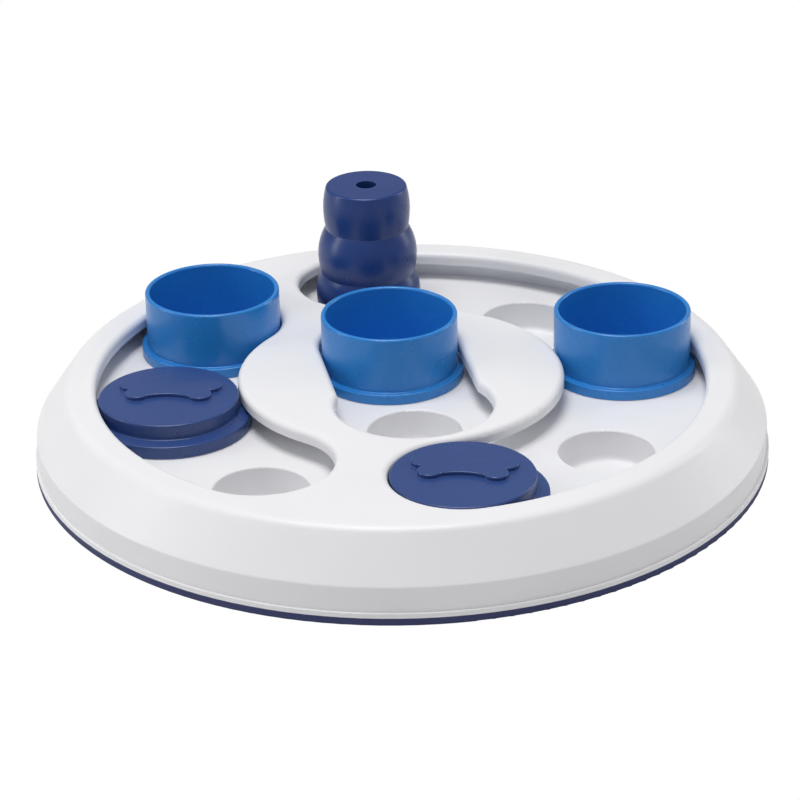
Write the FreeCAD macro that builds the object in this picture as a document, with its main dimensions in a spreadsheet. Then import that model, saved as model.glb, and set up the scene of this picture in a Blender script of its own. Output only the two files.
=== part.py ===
import FreeCAD, Part
import math
import os

import Sketcher

# Dog puzzle feeder: a round board with sliding cups, sliding lids and a removable tower.
# Millimetres, +Z up. The origin is the centre of the underside, on the floor.
# +Y runs along the straight middle track towards the tower; -Y is the side nearest the viewer.

SIZES = {
    # Board, outside
    "board_radius": 150.0,
    "foot_height": 3.3,
    "foot_width": 11.0,
    "foot_edge_round": 0.9,
    "lip_height": 1.9,
    "lip_step": 1.1,
    "skirt_height": 15.5,
    "shoulder_inset": 14.1,
    "plate_top": 34.0,
    "plate_thickness": 5.2,
    "shell_wall": 2.8,
    "shoulder_wall": 3.4,
    "shoulder_round": 5.0,
    "crease_round": 1.2,
    # Tongue of the foot ring and the shell's seat for it
    "tongue_height": 2.4,
    "tongue_width": 1.6,
    "tongue_inset": 3.0,
    "tongue_gap": 0.1,
    "seat_width": 7.0,
    "seat_thickness": 4.4,
    # Tracks in the plate
    "track_radius": 95.3,
    "left_start": 135.9,
    "left_end": 225.0,
    "right_start": -86.1,
    "right_end": 88.9,
    "middle_reach": 29.5,
    "exit_gap": 1.2,
    "slot_round": 2.5,
    # Tray under the plate
    "tray_top": 21.0,
    "tray_thickness": 2.4,
    "tray_rim_radius": 131.0,
    "tray_rim_wall": 2.0,
    "well_radius": 19.0,
    "well_depth": 13.5,
    "well_wall": 1.8,
    "well_floor_round": 2.5,
    "well_mouth_round": 0.8,
    "stiffener_radius": 122.0,
    "stiffener_wall": 1.8,
    "stiffener_depth": 7.0,
    # Screws that hold the tray up to the plate
    "post_radius": 5.0,
    "screw_radius": 1.5,
    "screw_hole_gap": 0.05,
    "screw_reach": 7.0,
    "screw_end_gap": 1.0,
    "screw_head_radius": 3.2,
    "screw_head_height": 2.0,
    "screw_drive_length": 3.6,
    "screw_drive_width": 0.9,
    "screw_drive_depth": 1.1,
    "middle_post_offset": 47.5,
    "outer_post_radius": 118.5,
    "inner_post_radius": 70.0,
    "web_angle": 112.5,
    # Everything that slides
    "slide_gap": 0.25,
    "slot_gap": 0.5,
    "cup_radius": 28.25,
    "cup_top": 48.9,
    "cup_wall": 2.0,
    "cup_floor": 2.0,
    "cup_flange_radius": 30.6,
    "cup_flange_height": 4.1,
    "cup_rim_round": 0.9,
    "cup_floor_round": 2.5,
    "flange_round": 0.6,
    "lid_top": 33.4,
    "lid_wall": 2.2,
    "lid_flange_radius": 33.2,
    "lid_flange_height": 4.9,
    "lid_flange_slope": 1.0,
    "lid_edge_round": 0.8,
    "bone_height": 1.7,
    "bone_offset": 3.2,
    "bone_waist": 5.0,
    "bone_side_radius": 20.5,
    "bone_near_reach": 12.7,
    "bone_far_reach": 16.0,
    "bone_knob_offset": 4.2,
    "bone_knob_radius": 4.9,
    "bone_edge_round": 0.5,
    # Tower
    "tower_top": 78.6,
    "tower_face_radius": 17.2,
    "upper_bead_radius": 18.7,
    "upper_bead_height": 68.5,
    "upper_waist_radius": 17.9,
    "upper_waist_height": 59.7,
    "middle_bead_radius": 21.4,
    "middle_bead_height": 47.5,
    "lower_waist_radius": 20.1,
    "lower_waist_height": 39.1,
    "lower_bead_radius": 22.6,
    "lower_bead_height": 30.3,
    "tower_foot_radius": 21.7,
    "tower_wall": 3.4,
    "tower_roof": 5.0,
    "tower_hole_radius": 4.5,
    "tower_edge_round": 1.2,
    # Where each moving piece stands
    "cup_right_angle": 5.2,
    "cup_centre_place": 25.5,
    "lid_left_angle": 180.9,
    "lid_left_turn": -14.0,
    "lid_front_turn": -17.0,
    "tower_angle": 88.1,
}

# Sizes that follow from others, as expressions in the names above
UNDERSIDE = "plate_top - plate_thickness"
SLOPE = "(shoulder_inset - lip_step) / (plate_top - skirt_height)"
SLOT_HALF = "cup_radius + slot_gap"
EXIT_RADIUS = "cup_flange_radius + exit_gap"
FLOOR = "tray_top + slide_gap"
WELL_FLOOR = "tray_top - well_depth"
TRAY_BOTTOM = "tray_top - tray_thickness"

# The curved tracks end over their first and last wells, and the wells between are evenly spread
RIGHT_SWEEP = "(right_end - right_start)"
LEFT_SWEEP = "(left_end - left_start)"
RIGHT_WELLS = ["right_start + %s * %d / 4" % (RIGHT_SWEEP, step) for step in range(5)]
LEFT_WELLS = ["left_start + %s * %d / 2" % (LEFT_SWEEP, step) for step in range(3)]

# Posts and screws, as places in the plan
WEB_COS = "cos(web_angle * 1 deg)"
WEB_SIN = "sin(web_angle * 1 deg)"
POSTS = [
    ("middle_post_offset", "0"),
    ("-middle_post_offset", "0"),
    ("outer_post_radius * " + WEB_COS, "outer_post_radius * " + WEB_SIN),
    ("outer_post_radius * " + WEB_COS, "-outer_post_radius * " + WEB_SIN),
    ("inner_post_radius * " + WEB_COS, "inner_post_radius * " + WEB_SIN),
    ("inner_post_radius * " + WEB_COS, "-inner_post_radius * " + WEB_SIN),
]

# Length and width of one arm of the cross slot in a screw head
DRIVE_SIDES = ("screw_drive_length", "screw_drive_width")

doc = FreeCAD.newDocument("PuzzleFeeder")
sheet = doc.addObject("Spreadsheet::Sheet", "Sizes")
notepad = doc.addObject("Spreadsheet::Sheet", "Notepad")


def fill_sheet():
    for row, (name, value) in enumerate(SIZES.items(), start=1):
        sheet.set("A%d" % row, name)
        sheet.set("B%d" % row, str(value))
        sheet.setAlias("B%d" % row, name)
    doc.recompute()


def number(expression):
    """The present value of an expression, worked out in a cell of the notepad."""
    notepad.set("A1", "=" + linked(expression))
    notepad.recompute()
    value = notepad.get("A1")
    return float(getattr(value, "Value", value))


def linked(expression):
    """The same expression as another object writes it, each name read from the sheet."""
    words = []
    word = ""
    for letter in expression + " ":
        if letter.isalnum() or letter == "_":
            word += letter
            continue
        words.append("Sizes." + word if word in SIZES else word)
        words.append(letter)
        word = ""
    return "".join(words).strip()


def new_body(label):
    body = doc.addObject("PartDesign::Body", label)
    body.Label = label
    return body


def new_sketch(body, name, role="XY_Plane", lift=None):
    """A sketch on one of the body's own planes, lifted along the plane's normal."""
    sketch = body.newObject("Sketcher::SketchObject", name)
    plane = [item for item in body.Origin.OriginFeatures if item.Role == role][0]
    sketch.AttachmentSupport = [(plane, "")]
    sketch.MapMode = "FlatFace"
    if lift:
        sketch.setExpression("AttachmentOffset.Base.z", linked(lift))
    return sketch


def hold(sketch, kind, link, expression, tag):
    """One dimension of a sketch, bound to an expression."""
    index = sketch.addConstraint(Sketcher.Constraint(kind, *link, number(expression)))
    sketch.renameConstraint(index, tag)
    sketch.setExpression("Constraints." + tag, linked(expression))


def hold_point(sketch, geometry, end, across, up, tag):
    """Holds a point at two expressions; "0" puts it on the axis."""
    if across == "0":
        sketch.addConstraint(Sketcher.Constraint("PointOnObject", geometry, end, -2))
    else:
        hold(sketch, "DistanceX", (-1, 1, geometry, end), across, tag + "_across")
    if up == "0":
        sketch.addConstraint(Sketcher.Constraint("PointOnObject", geometry, end, -1))
    else:
        hold(sketch, "DistanceY", (-1, 1, geometry, end), up, tag + "_up")


def spot(place):
    return FreeCAD.Vector(number(place[0]), number(place[1]), 0)


def draw_outline(sketch, points):
    """A closed outline of straight sides."""
    spots = [spot(point) for point in points]
    count = len(points)
    for index in range(count):
        sketch.addGeometry(Part.LineSegment(spots[index], spots[(index + 1) % count]), False)
    for index in range(count):
        ends = (index, 2, (index + 1) % count, 1)
        sketch.addConstraint(Sketcher.Constraint("Coincident", *ends))
    for index, (across, up) in enumerate(points):
        hold_point(sketch, index, 1, across, up, "corner%d" % index)


def draw_circles(sketch, places, radius, tag=""):
    """Circles of one radius at several places."""
    for index, place in enumerate(places):
        circle = Part.Circle(spot(place), FreeCAD.Vector(0, 0, 1), number(radius))
        geometry = sketch.addGeometry(circle, False)
        hold_point(sketch, geometry, 3, place[0], place[1], "%scentre%d" % (tag, index))
        hold(sketch, "Radius", (geometry,), radius, "%sradius%d" % (tag, index))


def extrude(body, kind, name, sketch, length, upward=None):
    """A pad or pocket of one sketch. A pocket cuts downward unless upward is set."""
    feature = body.newObject("PartDesign::" + kind, name)
    feature.Profile = sketch
    feature.setExpression("Length", linked(length))
    if upward:
        feature.Reversed = True
    sketch.Visibility = False
    return feature


def turn(body, kind, name, sketch, sweep=None):
    """A revolution or groove about the vertical axis, all round or a sweep about the sketch plane."""
    feature = body.newObject("PartDesign::" + kind, name)
    feature.Profile = sketch
    feature.ReferenceAxis = (sketch, ["V_Axis"])
    if sweep:
        feature.Midplane = True
        feature.setExpression("Angle", linked(sweep))
    else:
        feature.Angle = 360.0
    return feature


def turned_profile(body, name, points):
    sketch = new_sketch(body, name + "Profile", "XZ_Plane")
    draw_outline(sketch, points)
    return turn(body, "Revolution", name, sketch)


def circle_edges(feature, radius, height):
    """The circular edges, whole or in part, with this radius at this height."""
    names = []
    for index, edge in enumerate(feature.Shape.Edges, start=1):
        curve = edge.Curve
        if not isinstance(curve, Part.Circle):
            continue
        if abs(curve.Radius - number(radius)) < 0.01 and abs(curve.Center.z - number(height)) < 0.01:
            names.append("Edge%d" % index)
    return names


def level_edges(feature, height, inside_radius):
    """Every edge at one height whose middle lies within a radius of the axis."""
    names = []
    for index, edge in enumerate(feature.Shape.Edges, start=1):
        box = edge.BoundBox
        middle = edge.valueAt((edge.FirstParameter + edge.LastParameter) / 2)
        level = abs(box.ZMin - number(height)) < 0.01 and abs(box.ZMax - number(height)) < 0.01
        if level and middle.x ** 2 + middle.y ** 2 < number(inside_radius) ** 2:
            names.append("Edge%d" % index)
    return names


def round_edges(body, name, base, edges, radius):
    if not edges:
        raise RuntimeError("no edges for " + name)
    fillet = body.newObject("PartDesign::Fillet", name)
    fillet.Base = (base, edges)
    fillet.setExpression("Radius", linked(radius))
    doc.recompute()
    return fillet


def must_cut(before, after, name):
    if not after.Shape.Volume < before.Shape.Volume - 1.0:
        raise RuntimeError(name + " removed nothing")


def cut(body, name, base, sketch, length, upward=None):
    pocket = extrude(body, "Pocket", name, sketch, length, upward)
    doc.recompute()
    must_cut(base, pocket, name)
    return pocket


def stand_at(body, across, along, turn_by=None):
    """Places a piece in the plan, turned about the vertical."""
    body.setExpression("Placement.Base.x", linked(across))
    body.setExpression("Placement.Base.y", linked(along))
    if turn_by:
        body.Placement = FreeCAD.Placement(
            FreeCAD.Vector(), FreeCAD.Rotation(FreeCAD.Vector(0, 0, 1), number(turn_by))
        )


def on_ring(angle):
    """A place on the ring of wells, at a named angle."""
    return (
        "track_radius * cos((%s) * 1 deg)" % angle,
        "track_radius * sin((%s) * 1 deg)" % angle,
    )


def make_foot_ring():
    """Soft non-slip ring that the board stands on, with a tongue that keys into the shell."""
    tongue_outer = "board_radius - tongue_inset"
    tongue_inner = "board_radius - tongue_inset - tongue_width"
    tongue_top = "foot_height + tongue_height"
    body = new_body("base_ring")
    ring = turned_profile(body, "Ring", [
        ("board_radius - foot_width", "0"),
        ("board_radius", "0"),
        ("board_radius", "foot_height"),
        (tongue_outer, "foot_height"),
        (tongue_outer, tongue_top),
        (tongue_inner, tongue_top),
        (tongue_inner, "foot_height"),
        ("board_radius - foot_width", "foot_height"),
    ])
    doc.recompute()
    round_edges(body, "FootEdge", ring, circle_edges(ring, "board_radius", "0"), "foot_edge_round")
    return body


def cut_bent_track(body, base, name, start, end):
    """A curved slot about the board's centre with round ends, from one angle round to another."""
    inner = "track_radius - (%s)" % SLOT_HALF
    outer = "track_radius + %s" % SLOT_HALF
    sketch = new_sketch(body, name + "Profile", "XZ_Plane")
    halfway = number("(%s + %s) / 2" % (start, end))
    upright = FreeCAD.Rotation(FreeCAD.Vector(0, 1, 0), halfway)
    sketch.AttachmentOffset = FreeCAD.Placement(FreeCAD.Vector(), upright)
    draw_outline(sketch, [
        (inner, UNDERSIDE + " - 1"), (outer, UNDERSIDE + " - 1"),
        (outer, "plate_top + 1"), (inner, "plate_top + 1"),
    ])
    groove = turn(body, "Groove", name, sketch, "%s - %s" % (end, start))
    doc.recompute()
    must_cut(base, groove, name)
    ends = new_sketch(body, name + "Ends", lift="plate_top + 1")
    draw_circles(ends, [on_ring(start), on_ring(end)], SLOT_HALF)
    return cut(body, name + "RoundEnds", groove, ends, "plate_thickness + 2")


def cut_middle_track(body, base):
    """The straight slot, with a round far end and a wider round exit at the near end."""
    sides = new_sketch(body, "MiddleSides", lift="plate_top + 1")
    half = SLOT_HALF
    draw_outline(sides, [
        ("-(%s)" % half, "-middle_reach"), (half, "-middle_reach"),
        (half, "middle_reach"), ("-(%s)" % half, "middle_reach"),
    ])
    depth = "plate_thickness + 2"
    straight = cut(body, "MiddleTrack", base, sides, depth)
    far = new_sketch(body, "MiddleFar", lift="plate_top + 1")
    draw_circles(far, [("0", "middle_reach")], half)
    far_end = cut(body, "MiddleFarEnd", straight, far, depth)
    near = new_sketch(body, "MiddleNear", lift="plate_top + 1")
    draw_circles(near, [("0", "-middle_reach")], EXIT_RADIUS)
    return cut(body, "MiddleExit", far_end, near, depth)


def make_shell():
    """White shell: skirt, sloping shoulder and flat plate with the tracks cut through it."""
    outer_wall = "board_radius - lip_step"
    inner_wall = "board_radius - lip_step - shell_wall"
    lip_top = "foot_height + lip_height"
    shoulder = "board_radius - shoulder_inset"
    groove_outer = "board_radius - tongue_inset + tongue_gap"
    groove_inner = "board_radius - tongue_inset - tongue_width - tongue_gap"
    groove_top = "foot_height + tongue_height + tongue_gap"
    seat_inner = "board_radius - seat_width"
    body = new_body("top_shell")
    shell = turned_profile(body, "Shell", [
        ("board_radius", "foot_height"),
        ("board_radius", lip_top),
        (outer_wall, lip_top),
        (outer_wall, "skirt_height"),
        (shoulder, "plate_top"),
        ("0", "plate_top"),
        ("0", UNDERSIDE),
        (shoulder + " - shoulder_wall + plate_thickness * " + SLOPE, UNDERSIDE),
        (inner_wall, "skirt_height - (shoulder_wall - shell_wall) / (" + SLOPE + ")"),
        (inner_wall, "foot_height + seat_thickness"),
        (seat_inner, "foot_height + seat_thickness"),
        (seat_inner, "foot_height"),
        (groove_inner, "foot_height"),
        (groove_inner, groove_top),
        (groove_outer, groove_top),
        (groove_outer, "foot_height"),
    ])
    doc.recompute()
    edge = circle_edges(shell, shoulder, "plate_top")
    rim = round_edges(body, "Shoulder", shell, edge, "shoulder_round")
    crease = circle_edges(rim, outer_wall, "skirt_height")
    base = round_edges(body, "Crease", rim, crease, "crease_round")
    base = cut_bent_track(body, base, "LeftTrack", "left_start", "left_end")
    base = cut_bent_track(body, base, "RightTrack", "right_start", "right_end")
    base = cut_middle_track(body, base)
    reach = "track_radius + %s + 1" % SLOT_HALF
    base = round_edges(body, "SlotEdges", base, level_edges(base, "plate_top", reach), "slot_round")
    posts = new_sketch(body, "PostRounds", lift="tray_top")
    draw_circles(posts, POSTS, "post_radius")
    pads = extrude(body, "Pad", "Posts", posts, UNDERSIDE + " - tray_top")
    doc.recompute()
    bores = new_sketch(body, "PostBoreRounds", lift="tray_top")
    draw_circles(bores, POSTS, "screw_radius + screw_hole_gap")
    cut(body, "PostBores", pads, bores, "screw_reach + screw_end_gap", upward=True)
    return body


def make_tray():
    """Tray that the pieces slide on: a dish with treat wells pressed down into it."""
    body = new_body("tray")
    rim_outer = "tray_rim_radius + tray_rim_wall"
    turned_profile(body, "Dish", [
        ("0", TRAY_BOTTOM),
        (rim_outer, TRAY_BOTTOM),
        (rim_outer, UNDERSIDE),
        ("tray_rim_radius", UNDERSIDE),
        ("tray_rim_radius", "tray_top"),
        ("0", "tray_top"),
    ])
    doc.recompute()
    cup_bottom = WELL_FLOOR + " - well_wall"
    cup_depth = "well_depth + well_wall - tray_thickness"
    wells = [on_ring(angle) for angle in RIGHT_WELLS + LEFT_WELLS]
    wells += [("0", "middle_reach"), ("0", "-middle_reach")]
    outside = new_sketch(body, "WellOutsides", lift=cup_bottom)
    draw_circles(outside, wells, "well_radius + well_wall")
    walls = extrude(body, "Pad", "WellWalls", outside, cup_depth)
    doc.recompute()
    inside = new_sketch(body, "WellInsides", lift="tray_top")
    draw_circles(inside, wells, "well_radius")
    base = cut(body, "Wells", walls, inside, "well_depth")
    stiffener = new_sketch(body, "StiffenerRing", lift=TRAY_BOTTOM + " - stiffener_depth")
    draw_circles(stiffener, [("0", "0")], "stiffener_radius")
    draw_circles(stiffener, [("0", "0")], "stiffener_radius + stiffener_wall", tag="outer")
    base = extrude(body, "Pad", "Stiffener", stiffener, "stiffener_depth")
    doc.recompute()
    floors = circle_edges(base, "well_radius", WELL_FLOOR)
    base = round_edges(body, "WellFloors", base, floors, "well_floor_round")
    mouths = circle_edges(base, "well_radius", "tray_top")
    base = round_edges(body, "WellMouths", base, mouths, "well_mouth_round")
    holes = new_sketch(body, "ScrewHoleRounds", lift="tray_top")
    draw_circles(holes, POSTS, "screw_radius + screw_hole_gap")
    cut(body, "ScrewHoles", base, holes, "tray_thickness")
    return body


def make_screw(index, place):
    """One cross-slotted screw, head down under the tray, threaded part as its outer cylinder."""
    across, along = place
    shank = doc.addObject("Part::Cylinder", "Shank%d" % index)
    shank.setExpression("Radius", linked("screw_radius"))
    shank.setExpression("Height", linked("tray_thickness + screw_reach"))
    shank.setExpression("Placement.Base.z", linked(TRAY_BOTTOM))
    head = doc.addObject("Part::Cylinder", "Head%d" % index)
    head.setExpression("Radius", linked("screw_head_radius"))
    head.setExpression("Height", linked("screw_head_height"))
    head.setExpression("Placement.Base.z", linked(TRAY_BOTTOM + " - screw_head_height"))
    for item in (shank, head):
        item.setExpression("Placement.Base.x", linked(across))
        item.setExpression("Placement.Base.y", linked(along))
    whole = doc.addObject("Part::MultiFuse", "ScrewBlank%d" % index)
    whole.Shapes = [shank, head]
    for sides in (DRIVE_SIDES, DRIVE_SIDES[::-1]):
        slot = doc.addObject("Part::Box", "Drive%d" % index)
        slot.setExpression("Length", linked(sides[0]))
        slot.setExpression("Width", linked(sides[1]))
        slot.setExpression("Height", linked("screw_drive_depth"))
        slot.setExpression("Placement.Base.x", linked("%s - %s / 2" % (across, sides[0])))
        slot.setExpression("Placement.Base.y", linked("%s - %s / 2" % (along, sides[1])))
        slot.setExpression("Placement.Base.z", linked(TRAY_BOTTOM + " - screw_head_height"))
        cut_screw = doc.addObject("Part::Cut", "ScrewCut%d" % index)
        cut_screw.Base = whole
        cut_screw.Tool = slot
        whole = cut_screw
    return whole


def make_screws():
    screws = [make_screw(index, place) for index, place in enumerate(POSTS)]
    group = doc.addObject("Part::Compound", "tray_screws")
    group.Label = "tray_screws"
    group.Links = screws
    doc.recompute()
    return group


def make_cup(label, place):
    """Round cup with a closed floor and a flange that stays under the plate."""
    body = new_body(label)
    flange_top = FLOOR + " + cup_flange_height"
    inner_floor = FLOOR + " + cup_floor"
    base = turned_profile(body, "Cup", [
        ("0", FLOOR),
        ("cup_flange_radius", FLOOR),
        ("cup_flange_radius", flange_top),
        ("cup_radius", flange_top),
        ("cup_radius", "cup_top"),
        ("cup_radius - cup_wall", "cup_top"),
        ("cup_radius - cup_wall", inner_floor),
        ("0", inner_floor),
    ])
    doc.recompute()
    rim = circle_edges(base, "cup_radius", "cup_top")
    rim += circle_edges(base, "cup_radius - cup_wall", "cup_top")
    base = round_edges(body, "CupRim", base, rim, "cup_rim_round")
    corner = circle_edges(base, "cup_radius - cup_wall", inner_floor)
    base = round_edges(body, "CupFloor", base, corner, "cup_floor_round")
    flange = circle_edges(base, "cup_flange_radius", flange_top)
    flange += circle_edges(base, "cup_radius", flange_top)
    round_edges(body, "CupFlange", base, flange, "flange_round")
    stand_at(body, *place)
    return body


def make_lid(label, angle, turn_by):
    """Hollow lid with a wide flange under the plate and a raised bone figure as a push grip."""
    body = new_body(label)
    flange_top = FLOOR + " + lid_flange_height"
    flange_root = flange_top + " + lid_flange_slope"
    ceiling = "lid_top - lid_wall"
    base = turned_profile(body, "Lid", [
        ("cup_radius - lid_wall", FLOOR),
        ("lid_flange_radius", FLOOR),
        ("lid_flange_radius", flange_top),
        ("cup_radius", flange_root),
        ("cup_radius", "lid_top"),
        ("0", "lid_top"),
        ("0", ceiling),
        ("cup_radius - lid_wall", ceiling),
    ])
    doc.recompute()
    edge = circle_edges(base, "cup_radius", "lid_top")
    base = round_edges(body, "LidEdge", base, edge, "lid_edge_round")
    flange = circle_edges(base, "lid_flange_radius", flange_top)
    flange += circle_edges(base, "cup_radius", flange_root)
    base = round_edges(body, "LidFlange", base, flange, "flange_round")
    shaft = new_sketch(body, "BoneShaft", lift="lid_top")
    knob_low = "bone_offset - bone_knob_offset"
    knob_high = "bone_offset + bone_knob_offset"
    bar_low = knob_low + " - bone_knob_radius / 2"
    bar_high = knob_high + " + bone_knob_radius / 2"
    draw_outline(shaft, [
        ("-bone_near_reach", bar_low), ("bone_near_reach", bar_low),
        ("bone_near_reach", bar_high), ("-bone_near_reach", bar_high),
    ])
    bar = extrude(body, "Pad", "BoneBar", shaft, "bone_height")
    doc.recompute()
    sides = new_sketch(body, "BoneSides", lift="lid_top + bone_height")
    reach = "(bone_waist + bone_side_radius)"
    middles = [("0", "bone_offset - " + reach), ("0", "bone_offset + " + reach)]
    draw_circles(sides, middles, "bone_side_radius")
    base = cut(body, "BoneWaist", bar, sides, "bone_height")
    ends = {"Near": ("bone_near_reach", knob_low), "Far": ("bone_far_reach", knob_high)}
    for name, (reach, middle) in ends.items():
        knobs = new_sketch(body, name + "Knobs", lift="lid_top")
        draw_circles(knobs, [("-" + reach, middle), (reach, middle)], "bone_knob_radius")
        base = extrude(body, "Pad", "Bone%sKnobs" % name, knobs, "bone_height")
        doc.recompute()
    outline = level_edges(base, "lid_top + bone_height", "cup_radius")
    round_edges(body, "BoneEdge", base, outline, "bone_edge_round")
    stand_at(body, *on_ring(angle), turn_by=turn_by)
    return body


def draw_bead_arc(sketch, bead, end):
    """Arc that leaves a bead's widest point straight up or down and reaches a waist or an edge."""
    rise = end.y - bead.y
    run = bead.x - end.x
    radius = (rise * rise + run * run) / (2 * run)
    centre = FreeCAD.Vector(bead.x - radius, bead.y, 0)
    low, high = sorted((bead, end), key=lambda point: point.y)
    angles = [math.atan2(point.y - centre.y, point.x - centre.x) for point in (low, high)]
    circle = Part.Circle(centre, FreeCAD.Vector(0, 0, 1), radius)
    return sketch.addGeometry(Part.ArcOfCircle(circle, angles[0], angles[1]), False)


def draw_tower(sketch):
    """Half section of the tower: three beads outside, a tapered hollow inside."""
    outside = [
        ("tower_foot_radius", FLOOR),
        ("lower_bead_radius", "lower_bead_height"),
        ("lower_waist_radius", "lower_waist_height"),
        ("middle_bead_radius", "middle_bead_height"),
        ("upper_waist_radius", "upper_waist_height"),
        ("upper_bead_radius", "upper_bead_height"),
        ("tower_face_radius", "tower_top"),
    ]
    inside = [
        ("tower_hole_radius", "tower_top"),
        ("tower_hole_radius", "tower_top - tower_roof"),
        ("tower_face_radius - tower_wall", "tower_top - tower_roof"),
        ("tower_foot_radius - tower_wall", FLOOR),
    ]
    arcs = len(outside) - 1
    for index in range(arcs):
        bead, end = outside[index], outside[index + 1]
        if index % 2 == 0:
            bead, end = end, bead
        arc = draw_bead_arc(sketch, spot(bead), spot(end))
        hold_point(sketch, arc, 1, outside[index][0], outside[index][1], "bead%d" % index)
        hold(sketch, "DistanceY", (-1, 1, arc, 3), bead[1], "level%d" % index)
    corners = [outside[-1]] + inside + [outside[0]]
    for here, there in zip(corners, corners[1:]):
        sketch.addGeometry(Part.LineSegment(spot(here), spot(there)), False)
    count = sketch.GeometryCount
    for index in range(count):
        ends = (index, 2, (index + 1) % count, 1)
        sketch.addConstraint(Sketcher.Constraint("Coincident", *ends))
    for index, (across, up) in enumerate(corners[:-1]):
        hold_point(sketch, arcs + index, 1, across, up, "corner%d" % index)


def make_tower():
    """Hollow soft tower that stands loose over a well, open below, with a small hole on top."""
    body = new_body("tower")
    sketch = new_sketch(body, "TowerProfile", "XZ_Plane")
    draw_tower(sketch)
    base = turn(body, "Revolution", "Tower", sketch)
    doc.recompute()
    edges = circle_edges(base, "tower_face_radius", "tower_top")
    round_edges(body, "TowerEdge", base, edges, "tower_edge_round")
    stand_at(body, *on_ring("tower_angle"))
    return body


def check_document():
    for item in doc.Objects:
        if "Invalid" in item.State or "Error" in item.State:
            raise RuntimeError("%s failed: %s" % (item.Name, item.State))


def check_piece(piece, solids=1):
    shape = piece.Shape
    if shape.isNull() or not shape.isValid() or len(shape.Solids) != solids:
        raise RuntimeError("%s has a bad shape, %d solids" % (piece.Label, len(shape.Solids)))


def main():
    fill_sheet()
    pieces = [make_foot_ring(), make_shell(), make_tray(), make_screws()]
    pieces += [
        make_cup("cup_left", on_ring("left_start")),
        make_cup("cup_centre", ("0", "cup_centre_place")),
        make_cup("cup_right", on_ring("cup_right_angle")),
        make_lid("lid_left", "lid_left_angle", "lid_left_turn"),
        make_lid("lid_front", "right_start", "lid_front_turn"),
        make_tower(),
    ]
    doc.removeObject(notepad.Name)
    doc.recompute()
    check_document()
    os.makedirs("parts", exist_ok=True)
    for piece in pieces:
        check_piece(piece, len(POSTS) if piece.Label == "tray_screws" else 1)
        box = piece.Shape.BoundBox
        print("%-12s %9.0f mm3  z %.2f to %.2f" % (piece.Label, piece.Shape.Volume, box.ZMin, box.ZMax))
        piece.Shape.exportStep("parts/%s.step" % piece.Label)


main()
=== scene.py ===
import math

import bpy
from mathutils import Matrix, Vector

# Dressed model of a round dog puzzle board with sliding cups, sliding lids and a loose tower.
# Metres, in the same frame as the solids: +Z up, origin at the centre of the underside.

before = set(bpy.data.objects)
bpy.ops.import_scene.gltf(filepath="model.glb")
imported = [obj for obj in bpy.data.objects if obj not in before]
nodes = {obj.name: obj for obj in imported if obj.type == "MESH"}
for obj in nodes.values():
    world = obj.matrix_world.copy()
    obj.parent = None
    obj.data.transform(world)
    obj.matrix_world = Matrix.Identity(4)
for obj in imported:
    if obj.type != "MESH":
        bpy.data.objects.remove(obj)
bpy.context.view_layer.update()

# Camera, at the photograph's angle
CAMERA_PLACE = (-0.1926, -1.0924, 0.5489)
CAMERA_HEADING = math.radians(9.97)
CAMERA_PITCH = math.radians(25.46)
CAMERA_ROLL = math.radians(-1.12)
LENS = 135.0
SENSOR = 36.0

# Surfaces: scales in cycles per metre, lengths in metres
NOISE_DETAIL = 4.0
NOISE_LOW = 0.35
NOISE_HIGH = 0.65
CLOUD_SCALE = 22.0
CLOUD_SPREAD = 0.05
GLOSS_SCALE = 60.0
GLOSS_SPREAD = 0.05
GRAIN_SCALE = 2600.0
GRAIN_DETAIL = 2.0
GRAIN_STRENGTH = 0.35
GRAIN_HEIGHT = 0.00002
REFRACTION = 1.49
# Rounded edges are painted lighter as a highlight, within this reach and between the two limits
# below
EDGE_REACH = 0.0007
EDGE_SAMPLES = 4
EDGE_HIGHLIGHT_FULL = 0.80
EDGE_HIGHLIGHT_NONE = 0.98
WHITE_SPREAD = 0.012

# Sockets of the colour mix node and of the shader mix node that share their names
MIX_FACTOR = 0
MIX_FIRST = 6
MIX_SECOND = 7
MIX_RESULT = 2
SHADER_FIRST = 1
SHADER_SECOND = 2

# Floor, surroundings and lamps
FLOOR_HOLE = 0.138
FLOOR_REACH = 4.0
FLOOR_DROP = 0.0004
FLOOR_SIDES = 128
FLOOR_GREY = 0.80
SURROUND_COLOUR = (1.0, 0.995, 1.0, 1.0)
SURROUND_LEVEL = 0.34
LAMP_TARGET = (0, 0, 0.02)


def srgb(red, green, blue):
    """A colour given as 0-255 screen values, as Blender's linear one."""
    def linear(level):
        level /= 255
        return level / 12.92 if level <= 0.04045 else ((level + 0.055) / 1.055) ** 2.4
    return (linear(red), linear(green), linear(blue), 1.0)


# Materials

def new_material(name):
    material = bpy.data.materials.new(name)
    material.use_nodes = True
    tree = material.node_tree
    tree.nodes.clear()
    output = tree.nodes.new("ShaderNodeOutputMaterial")
    shader = tree.nodes.new("ShaderNodeBsdfPrincipled")
    tree.links.new(shader.outputs["BSDF"], output.inputs["Surface"])
    return material, tree, shader


def object_noise(tree, scale, detail=NOISE_DETAIL):
    """Noise fixed to the object, in cycles per metre."""
    place = tree.nodes.new("ShaderNodeTexCoord")
    noise = tree.nodes.new("ShaderNodeTexNoise")
    noise.inputs["Scale"].default_value = scale
    noise.inputs["Detail"].default_value = detail
    tree.links.new(place.outputs["Object"], noise.inputs["Vector"])
    return noise.outputs["Fac"]


def ramp(tree, factor, low, high, start=NOISE_LOW, end=NOISE_HIGH):
    """The low colour up to the start, the high one from the end on, blended between them."""
    node = tree.nodes.new("ShaderNodeValToRGB")
    node.color_ramp.elements[0].position = start
    node.color_ramp.elements[0].color = low
    node.color_ramp.elements[1].position = end
    node.color_ramp.elements[1].color = high
    tree.links.new(factor, node.inputs["Fac"])
    return node.outputs["Color"]


def grey(level):
    return (level, level, level, 1.0)


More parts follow.
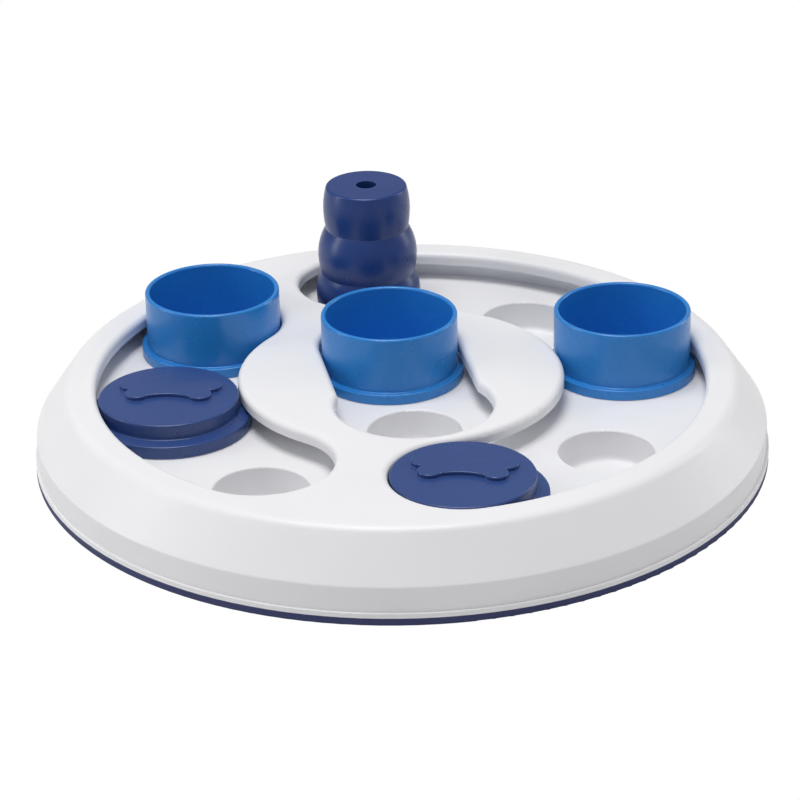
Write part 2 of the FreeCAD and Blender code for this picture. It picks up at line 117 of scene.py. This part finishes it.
def blend_colour(tree, factor, varied, fixed):
    """A varied colour that gives way to a fixed one as the factor goes from 0 to 1."""
    node = tree.nodes.new("ShaderNodeMix")
    node.data_type = "RGBA"
    tree.links.new(factor, node.inputs[MIX_FACTOR])
    tree.links.new(varied, node.inputs[MIX_FIRST])
    node.inputs[MIX_SECOND].default_value = fixed
    return node.outputs[MIX_RESULT]


def blend_shaders(tree, factor, first, second):
    """The first shader where the factor is 0, the second where it is 1."""
    node = tree.nodes.new("ShaderNodeMixShader")
    tree.links.new(factor, node.inputs["Fac"])
    tree.links.new(first, node.inputs[SHADER_FIRST])
    tree.links.new(second, node.inputs[SHADER_SECOND])
    return node.outputs["Shader"]


def edge_factor(tree):
    """0 on flats to 1 on edges, where the rounded normal leaves the true one: the mask of the
    painted edge highlight.
    """
    bevel = tree.nodes.new("ShaderNodeBevel")
    bevel.samples = EDGE_SAMPLES
    bevel.inputs["Radius"].default_value = EDGE_REACH
    geometry = tree.nodes.new("ShaderNodeNewGeometry")
    match = tree.nodes.new("ShaderNodeVectorMath")
    match.operation = "DOT_PRODUCT"
    tree.links.new(bevel.outputs["Normal"], match.inputs[0])
    tree.links.new(geometry.outputs["Normal"], match.inputs[1])
    return ramp(tree, match.outputs["Value"], grey(1.0), grey(0.0), EDGE_HIGHLIGHT_FULL, EDGE_HIGHLIGHT_NONE)


def scaled(colour, factor):
    """The colour lighter or darker by the factor, and no lighter than white."""
    return tuple(min(1.0, channel * factor) for channel in colour[:3]) + (1.0,)


def finish(name, colour, edge_highlight, roughness, spread=CLOUD_SPREAD, grain=GRAIN_SCALE, metallic=0.0):
    """Moulded plastic or plated steel: faint cloudy tone, fine grain, and edges painted paler
    as a highlight.
    """
    material, tree, shader = new_material(name)
    dark = scaled(colour, 1 - spread)
    light = scaled(colour, 1 + spread)
    clouds = ramp(tree, object_noise(tree, CLOUD_SCALE), dark, light)
    # Painted highlight: the edge colour lies on every rounded edge, convex and concave,
    # standing in for the light the edges catch
    highlighted = blend_colour(tree, edge_factor(tree), clouds, edge_highlight)
    tree.links.new(highlighted, shader.inputs["Base Color"])
    smooth = grey(roughness - GLOSS_SPREAD)
    rough = grey(roughness + GLOSS_SPREAD)
    gloss = ramp(tree, object_noise(tree, GLOSS_SCALE), smooth, rough)
    tree.links.new(gloss, shader.inputs["Roughness"])
    bump = tree.nodes.new("ShaderNodeBump")
    bump.inputs["Strength"].default_value = GRAIN_STRENGTH
    bump.inputs["Distance"].default_value = GRAIN_HEIGHT
    tree.links.new(object_noise(tree, grain, GRAIN_DETAIL), bump.inputs["Height"])
    tree.links.new(bump.outputs["Normal"], shader.inputs["Normal"])
    shader.inputs["IOR"].default_value = REFRACTION
    shader.inputs["Metallic"].default_value = metallic
    return material


# The second colour of each material is its painted edge highlight
WHITE = finish("white_shell", colour=srgb(234, 234, 236), edge_highlight=srgb(241, 241, 242),
               roughness=0.40, spread=WHITE_SPREAD)
TRAY_WHITE = finish("white_tray", colour=srgb(234, 234, 236), edge_highlight=srgb(241, 241, 242),
                    roughness=0.45, spread=WHITE_SPREAD)
CUP_BLUE = finish("cup_blue", colour=srgb(38, 127, 204), edge_highlight=srgb(92, 166, 228),
                  roughness=0.27)
LID_NAVY = finish("lid_navy", colour=srgb(44, 70, 127), edge_highlight=srgb(86, 110, 172),
                  roughness=0.30, spread=0.04)
TOWER_NAVY = finish("tower_rubber", colour=srgb(27, 57, 118), edge_highlight=srgb(84, 108, 166),
                    roughness=0.30, grain=900.0)
FOOT_DARK = finish("foot_rubber", colour=srgb(42, 50, 96), edge_highlight=srgb(52, 62, 108),
                   roughness=0.62, grain=1800.0)
STEEL = finish("screw_steel", colour=srgb(190, 190, 195), edge_highlight=srgb(205, 205, 208),
               roughness=0.30, metallic=1.0)

NODE_MATERIALS = {
    "base_ring": FOOT_DARK,
    "top_shell": WHITE,
    "tray": TRAY_WHITE,
    "tray_screws": STEEL,
    "cup_left": CUP_BLUE,
    "cup_centre": CUP_BLUE,
    "cup_right": CUP_BLUE,
    "lid_left": LID_NAVY,
    "lid_front": LID_NAVY,
    "tower": TOWER_NAVY,
}
for node_name, material in NODE_MATERIALS.items():
    for slot in nodes[node_name].material_slots:
        slot.material = material


# Stage

def floor_mesh():
    """A flat ring, open under the board so that the underside is lit when seen from below."""
    corners = []
    for radius in (FLOOR_HOLE, FLOOR_REACH):
        for step in range(FLOOR_SIDES):
            angle = 2 * math.pi * step / FLOOR_SIDES
            corners.append((radius * math.cos(angle), radius * math.sin(angle), -FLOOR_DROP))
    faces = []
    for step in range(FLOOR_SIDES):
        following = (step + 1) % FLOOR_SIDES
        faces.append((step, FLOOR_SIDES + step, FLOOR_SIDES + following, following))
    mesh = bpy.data.meshes.new("stage_floor")
    mesh.from_pydata(corners, [], faces)
    return mesh


def floor_material():
    """Plain white to the camera, matt grey to the light, and nothing at all from below."""
    material, tree, shader = new_material("stage_white")
    shader.inputs["Base Color"].default_value = grey(FLOOR_GREY)
    shader.inputs["Roughness"].default_value = 1.0
    shader.inputs["Specular IOR Level"].default_value = 0.0
    bright = tree.nodes.new("ShaderNodeEmission")
    bright.inputs["Color"].default_value = grey(1.0)
    bright.inputs["Strength"].default_value = 1.0
    under = tree.nodes.new("ShaderNodeBsdfTransparent")
    path = tree.nodes.new("ShaderNodeLightPath")
    side = tree.nodes.new("ShaderNodeNewGeometry")
    above = blend_shaders(tree, path.outputs["Is Camera Ray"],
                          shader.outputs["BSDF"], bright.outputs["Emission"])
    whole = blend_shaders(tree, side.outputs["Backfacing"], above, under.outputs["BSDF"])
    output = next(node for node in tree.nodes if node.type == "OUTPUT_MATERIAL")
    tree.links.new(whole, output.inputs["Surface"])
    return material


def make_floor():
    floor = bpy.data.objects.new("stage_floor", floor_mesh())
    bpy.context.scene.collection.objects.link(floor)
    floor.data.materials.append(floor_material())


def background(tree, colour, level):
    node = tree.nodes.new("ShaderNodeBackground")
    node.inputs["Color"].default_value = colour
    node.inputs["Strength"].default_value = level
    return node.outputs["Background"]


def make_world():
    """Soft light from all round, and plain white where the camera sees past the floor."""
    world = bpy.data.worlds.new("studio")
    bpy.context.scene.world = world
    world.use_nodes = True
    tree = world.node_tree
    tree.nodes.clear()
    output = tree.nodes.new("ShaderNodeOutputWorld")
    light = background(tree, SURROUND_COLOUR, SURROUND_LEVEL)
    seen = background(tree, grey(1.0), 1.0)
    path = tree.nodes.new("ShaderNodeLightPath")
    whole = blend_shaders(tree, path.outputs["Is Camera Ray"], light, seen)
    tree.links.new(whole, output.inputs["Surface"])


def soft_lamp(name, place, size, power):
    """A rectangular lamp turned to the board, its size in metres and its power in watts."""
    data = bpy.data.lights.new(name, "AREA")
    data.shape = "RECTANGLE"
    data.size, data.size_y = size
    data.energy = power
    lamp = bpy.data.objects.new(name, data)
    bpy.context.scene.collection.objects.link(lamp)
    lamp.location = place
    reach = Vector(LAMP_TARGET) - Vector(place)
    lamp.rotation_euler = reach.to_track_quat("-Z", "Y").to_euler()


def make_camera():
    data = bpy.data.cameras.new("camera")
    data.lens = LENS
    data.sensor_width = SENSOR
    camera = bpy.data.objects.new("camera", data)
    bpy.context.scene.collection.objects.link(camera)
    turn = Matrix.Rotation(-CAMERA_HEADING, 4, "Z")
    tip = Matrix.Rotation(math.pi / 2 - CAMERA_PITCH, 4, "X")
    roll = Matrix.Rotation(CAMERA_ROLL, 4, "Z")
    camera.matrix_world = Matrix.Translation(CAMERA_PLACE) @ turn @ tip @ roll
    bpy.context.scene.camera = camera


make_floor()
make_world()
soft_lamp("overhead", place=(-0.15, -0.1, 1.5), size=(0.75, 0.75), power=15.3)
soft_lamp("left_strip", place=(-1.4, 0.2, 0.6), size=(0.3, 1.3), power=5.0)
soft_lamp("right_strip", place=(1.4, 0.4, 0.5), size=(0.3, 1.2), power=4.0)
make_camera()
bpy.context.scene.view_settings.view_transform = "Standard"
